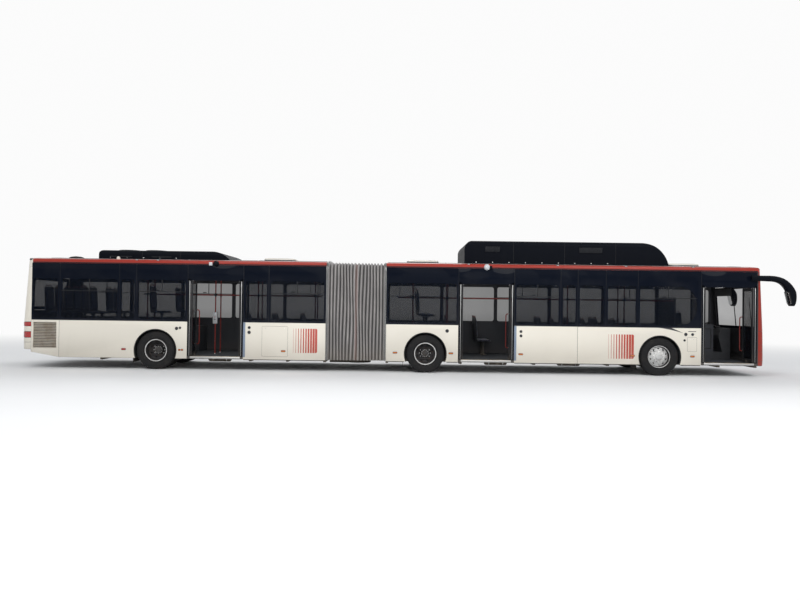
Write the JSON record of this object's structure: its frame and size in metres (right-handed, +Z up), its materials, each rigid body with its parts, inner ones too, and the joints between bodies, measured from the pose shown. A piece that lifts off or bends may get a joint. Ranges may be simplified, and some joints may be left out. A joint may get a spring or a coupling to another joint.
{
  "type": "articulated city bus",
  "caption": "Low-floor articulated city bus with wide folding double doors, pleated joint, steered front wheels, twin rear wheels and roof gas tank cover",
  "frame": {"origin": "on the road, under the middle of the overall length with the outside mirrors, on the bus's centre line", "axes": "+X points to the front of the bus, +Y to its left side, +Z up"},
  "size_m": [19.35, 3, 3.37],
  "materials": {
    "white_paint": "gloss coach paint",
    "red_paint": "gloss coach paint",
    "black_paint": "satin fibreglass covers",
    "roof_panel": "painted sandwich roof",
    "dark_glass": "tinted bonded glass",
    "clear_glass": "windscreen glass",
    "floor_board": "board with a wear layer",
    "frame_steel": "waxed black steel",
    "wheel_steel": "silver painted wheels",
    "tyre": "road rubber",
    "bellows_cloth": "coated grey cloth",
    "door_alloy": "black frames with glass",
    "seat_cloth": "blue moquette on plastic shells",
    "rail_red": "red powder coat",
    "cab_plastic": "grained grey plastic",
    "lamp_clear": "clear lamp covers",
    "lamp_red": "red lamp covers",
    "engine_iron": "cast block"
  },
  "bodies": {
    "front_car": {"front_roof": "roof_panel", "nose": "red_paint", "windscreen": "clear_glass", "headlamps": "lamp_clear", "front_side_left": "white_paint", "front_side_right": "white_paint", "front_glass": "dark_glass", "front_floor": "floor_board", "front_underframe": "frame_steel", "turntable_front": "frame_steel", "front_car_axles": "frame_steel", "tank_cover": "black_paint", "mirrors": "black_paint", "wipers": "black_paint", "driver_cab": "cab_plastic", "front_seats": "seat_cloth", "front_grab_rails": "rail_red", "bellows": "bellows_cloth"},
    "rear_car": {"rear_roof": "roof_panel", "rear_wall": "white_paint", "tail_lamps": "lamp_red", "rear_side_left": "white_paint", "rear_side_right": "white_paint", "rear_glass": "dark_glass", "rear_floor": "floor_board", "rear_underframe": "frame_steel", "turntable_rear": "frame_steel", "rear_axle": "frame_steel", "engine": "engine_iron", "roof_cooler": "black_paint", "rear_seats": "seat_cloth", "rear_grab_rails": "rail_red"},
    "knuckle_left": {"knuckle_left": "frame_steel"},
    "knuckle_right": {"knuckle_right": "frame_steel"},
    "wheel_front_left": {"tyre_front_left": "tyre", "rim_front_left": "wheel_steel"},
    "wheel_front_right": {"tyre_front_right": "tyre", "rim_front_right": "wheel_steel"},
    "wheel_middle_left": {"tyres_middle_left": "tyre", "rims_middle_left": "wheel_steel"},
    "wheel_middle_right": {"tyres_middle_right": "tyre", "rims_middle_right": "wheel_steel"},
    "wheel_rear_left": {"tyres_rear_left": "tyre", "rims_rear_left": "wheel_steel"},
    "wheel_rear_right": {"tyres_rear_right": "tyre", "rims_rear_right": "wheel_steel"},
    "door_1_rear_post": {"door_1_rear_post": "door_alloy"},
    "door_1_rear_leaf": {"door_1_rear_leaf": "door_alloy"},
    "door_1_front_post": {"door_1_front_post": "door_alloy"},
    "door_1_front_leaf": {"door_1_front_leaf": "door_alloy"},
    "door_2_rear_post": {"door_2_rear_post": "door_alloy"},
    "door_2_rear_leaf": {"door_2_rear_leaf": "door_alloy"},
    "door_2_front_post": {"door_2_front_post": "door_alloy"},
    "door_2_front_leaf": {"door_2_front_leaf": "door_alloy"},
    "door_3_rear_post": {"door_3_rear_post": "door_alloy"},
    "door_3_rear_leaf": {"door_3_rear_leaf": "door_alloy"},
    "door_3_front_post": {"door_3_front_post": "door_alloy"},
    "door_3_front_leaf": {"door_3_front_leaf": "door_alloy"}
  },
  "joints": [
    {"name": "articulation", "type": "hinge", "parent": "front_car", "child": "rear_car", "pos_m": [-1.25, 0, 0.25], "axis": [0, 0, 1], "range_deg": [-50, 50], "deforming": ["bellows"]},
    {"name": "steer_left", "type": "hinge", "parent": "front_car", "child": "knuckle_left", "pos_m": [6.375, 1, 0.4785], "axis": [0, 0, 1], "range_deg": [-38, 38]},
    {"name": "steer_right", "type": "hinge", "parent": "front_car", "child": "knuckle_right", "pos_m": [6.375, -1, 0.4785], "axis": [0, 0, 1], "range_deg": [-38, 38]},
    {"name": "roll_front_left", "type": "hinge", "parent": "knuckle_left", "child": "wheel_front_left", "pos_m": [6.375, 1.0875, 0.4785], "axis": [0, 1, 0], "continuous": true},
    {"name": "roll_front_right", "type": "hinge", "parent": "knuckle_right", "child": "wheel_front_right", "pos_m": [6.375, -1.0875, 0.4785], "axis": [0, 1, 0], "continuous": true},
    {"name": "roll_middle_left", "type": "hinge", "parent": "front_car", "child": "wheel_middle_left", "pos_m": [0.5, 0.9325, 0.4785], "axis": [0, 1, 0], "continuous": true},
    {"name": "roll_middle_right", "type": "hinge", "parent": "front_car", "child": "wheel_middle_right", "pos_m": [0.5, -0.9325, 0.4785], "axis": [0, 1, 0], "continuous": true},
    {"name": "roll_rear_left", "type": "hinge", "parent": "rear_car", "child": "wheel_rear_left", "pos_m": [-6.27, 0.9325, 0.4785], "axis": [0, 1, 0], "continuous": true},
    {"name": "roll_rear_right", "type": "hinge", "parent": "rear_car", "child": "wheel_rear_right", "pos_m": [-6.27, -0.9325, 0.4785], "axis": [0, 1, 0], "continuous": true},
    {"name": "door_1_rear_swing", "type": "hinge", "parent": "front_car", "child": "door_1_rear_post", "pos_m": [7.449, -1.206, 1], "axis": [0, 0, 1], "range_deg": [-83, 0]},
    {"name": "door_1_rear_turn", "type": "hinge", "parent": "door_1_rear_post", "child": "door_1_rear_leaf", "pos_m": [7.48775, -0.89037, 1], "axis": [0, 0, 1], "range_deg": [0, 166]},
    {"name": "door_1_front_swing", "type": "hinge", "parent": "front_car", "child": "door_1_front_post", "pos_m": [8.769, -1.206, 1], "axis": [0, 0, 1], "range_deg": [0, 83]},
    {"name": "door_1_front_turn", "type": "hinge", "parent": "door_1_front_post", "child": "door_1_front_leaf", "pos_m": [8.73025, -0.89037, 1], "axis": [0, 0, 1], "range_deg": [-166, 0]},
    {"name": "door_2_rear_swing", "type": "hinge", "parent": "front_car", "child": "door_2_rear_post", "pos_m": [1.36, -1.206, 1], "axis": [0, 0, 1], "range_deg": [-83, 0]},
    {"name": "door_2_rear_turn", "type": "hinge", "parent": "door_2_rear_post", "child": "door_2_rear_leaf", "pos_m": [1.39875, -0.89037, 1], "axis": [0, 0, 1], "range_deg": [0, 166]},
    {"name": "door_2_front_swing", "type": "hinge", "parent": "front_car", "child": "door_2_front_post", "pos_m": [2.68, -1.206, 1], "axis": [0, 0, 1], "range_deg": [0, 83]},
    {"name": "door_2_front_turn", "type": "hinge", "parent": "door_2_front_post", "child": "door_2_front_leaf", "pos_m": [2.64125, -0.89037, 1], "axis": [0, 0, 1], "range_deg": [-166, 0]},
    {"name": "door_3_rear_swing", "type": "hinge", "parent": "rear_car", "child": "door_3_rear_post", "pos_m": [-5.434, -1.206, 1], "axis": [0, 0, 1], "range_deg": [-83, 0]},
    {"name": "door_3_rear_turn", "type": "hinge", "parent": "door_3_rear_post", "child": "door_3_rear_leaf", "pos_m": [-5.39525, -0.89037, 1], "axis": [0, 0, 1], "range_deg": [0, 166]},
    {"name": "door_3_front_swing", "type": "hinge", "parent": "rear_car", "child": "door_3_front_post", "pos_m": [-4.114, -1.206, 1], "axis": [0, 0, 1], "range_deg": [0, 83]},
    {"name": "door_3_front_turn", "type": "hinge", "parent": "door_3_front_post", "child": "door_3_front_leaf", "pos_m": [-4.15275, -0.89037, 1], "axis": [0, 0, 1], "range_deg": [-166, 0]}
  ],
  "couplings": [
    {"joint": "steer_right", "follows": "steer_left", "ratio": 1},
    {"joint": "door_1_rear_turn", "follows": "door_1_rear_swing", "ratio": -2},
    {"joint": "door_1_front_swing", "follows": "door_1_rear_swing", "ratio": -1},
    {"joint": "door_1_front_turn", "follows": "door_1_rear_swing", "ratio": 2},
    {"joint": "door_2_rear_turn", "follows": "door_2_rear_swing", "ratio": -2},
    {"joint": "door_2_front_swing", "follows": "door_2_rear_swing", "ratio": -1},
    {"joint": "door_2_front_turn", "follows": "door_2_rear_swing", "ratio": 2},
    {"joint": "door_3_rear_turn", "follows": "door_3_rear_swing", "ratio": -2},
    {"joint": "door_3_front_swing", "follows": "door_3_rear_swing", "ratio": -1},
    {"joint": "door_3_front_turn", "follows": "door_3_rear_swing", "ratio": 2}
  ]
}
